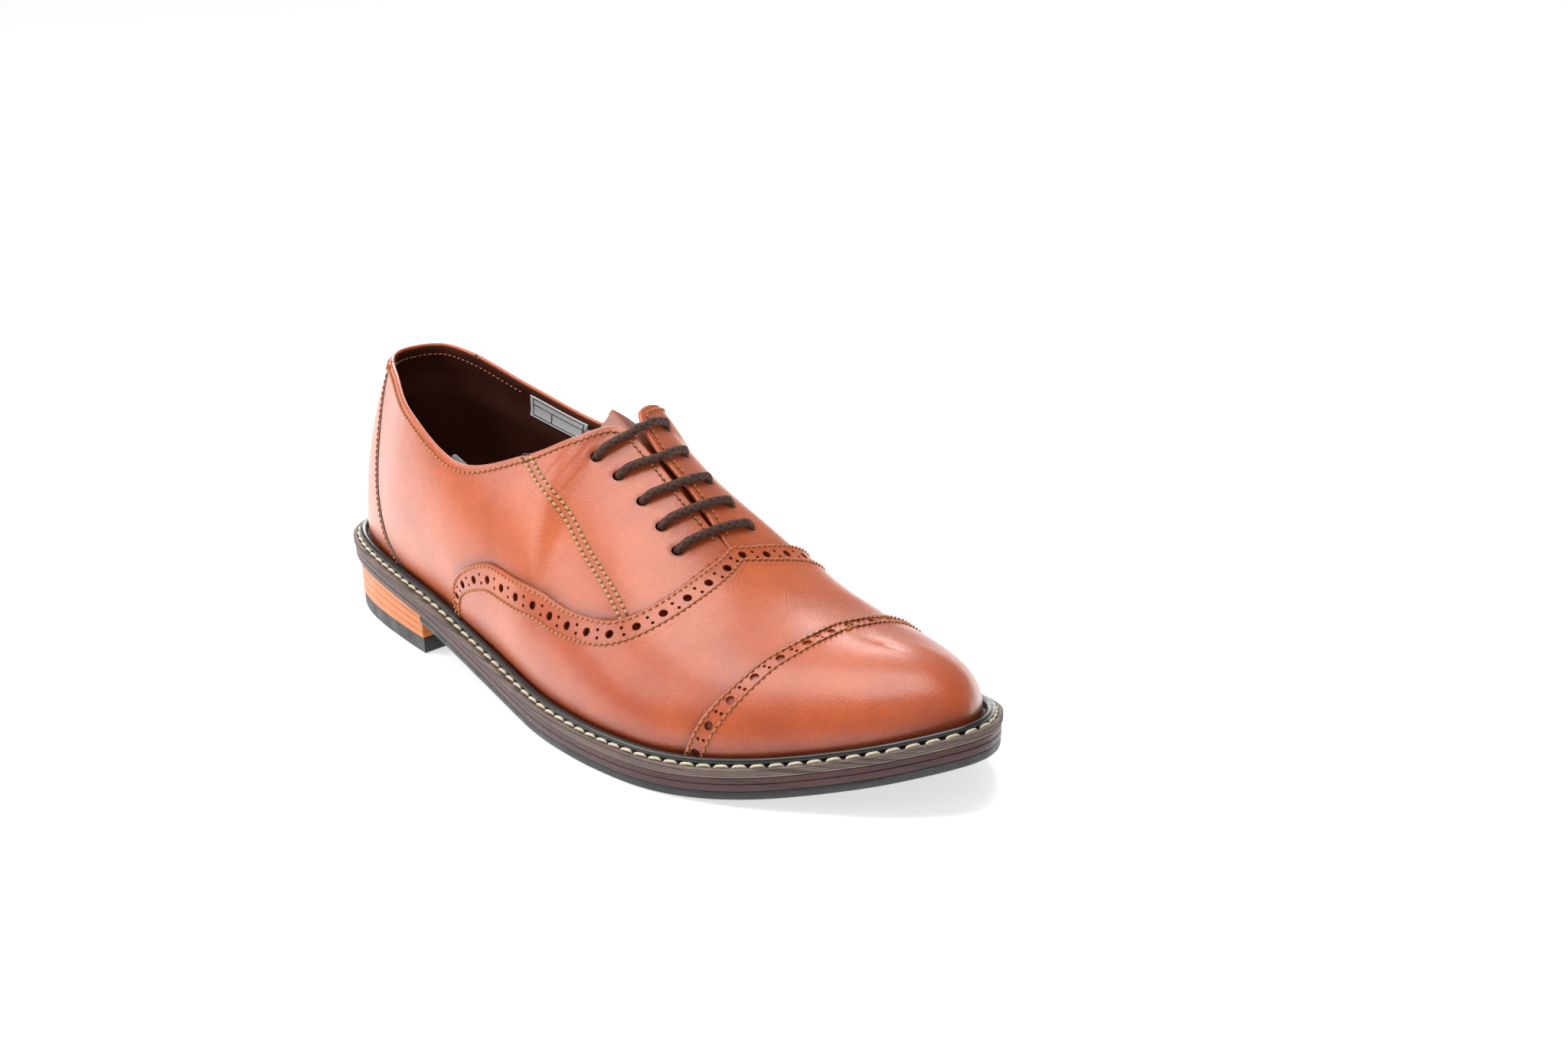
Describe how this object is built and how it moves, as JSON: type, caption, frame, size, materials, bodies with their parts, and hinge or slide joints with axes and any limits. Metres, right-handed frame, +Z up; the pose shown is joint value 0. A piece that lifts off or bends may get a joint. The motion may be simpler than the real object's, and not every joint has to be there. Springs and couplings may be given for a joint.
{
  "type": "leather oxford shoe",
  "caption": "Right low lace-up dress shoe with straight toe cap, closed lacing, welted sole and stacked heel, worn to protect and dress a foot.",
  "frame": {"origin": "centre of the shoe's footprint rectangle, on the surface it stands on", "axes": "+X towards the toe, +Y towards the inner (medial) side of the right foot, +Z up"},
  "size_m": [0.3204, 0.1147, 0.0993],
  "materials": {
    "tan_leather": "glossy",
    "lining_leather": "suede",
    "black_rubber": "satin",
    "stacked_leather": "burnished",
    "midsole_leather": "satin",
    "welt_leather": "satin",
    "welt_thread": "matte",
    "bead_leather": "glossy",
    "cork": "matte",
    "steel": "satin",
    "insole_leather": "matte",
    "fibreboard": "matte",
    "label_cloth": "matte",
    "lace_cord": "waxed",
    "tag_plastic": "glossy"
  },
  "bodies": {
    "shoe": {"top_piece": "black_rubber", "heel_lifts": "stacked_leather", "outsole": "black_rubber", "midsole": "midsole_leather", "welt": "welt_leather", "welt_stitching": "welt_thread", "bead": "bead_leather", "cork_filler": "cork", "shank": "steel", "insole": "insole_leather", "sock_lining": "lining_leather", "heel_counter": "fibreboard", "toe_puff": "fibreboard", "quarter_lining": "lining_leather", "vamp_lining": "lining_leather", "back_panel": "tan_leather", "back_tabs": "tan_leather", "quarter_lateral": "tan_leather", "quarter_medial": "tan_leather", "vamp": "tan_leather", "toe_cap": "tan_leather", "size_label": "label_cloth", "lace_end_lateral": "lace_cord", "lace_end_medial": "lace_cord", "lace_tag_lateral": "tag_plastic", "lace_tag_medial": "tag_plastic"},
    "lateral_facing": {"facing_lateral": "tan_leather", "facing_lining_lateral": "lining_leather", "hole_rings_lateral": "fibreboard", "lace_lateral": "lace_cord"},
    "medial_facing": {"facing_medial": "tan_leather", "facing_lining_medial": "lining_leather", "hole_rings_medial": "fibreboard", "lace_medial": "lace_cord"},
    "tongue_flap": {"tongue": "tan_leather", "tongue_lining": "lining_leather"}
  },
  "joints": [
    {"name": "lateral_facing_open", "type": "hinge", "parent": "shoe", "child": "lateral_facing", "pos_m": [-0.02635, -0.0247, 0.0828], "axis": [0.916, -0.006, -0.401], "range_deg": [0, 6]},
    {"name": "medial_facing_open", "type": "hinge", "parent": "shoe", "child": "medial_facing", "pos_m": [-0.02635, 0.0338, 0.0831], "axis": [-0.922, 0.037, 0.3854], "range_deg": [0, 6]},
    {"name": "tongue_tilt", "type": "hinge", "parent": "shoe", "child": "tongue_flap", "pos_m": [0.04475, 0.0043, 0.054], "axis": [0, -1, 0], "range_deg": [0, 12]}
  ]
}
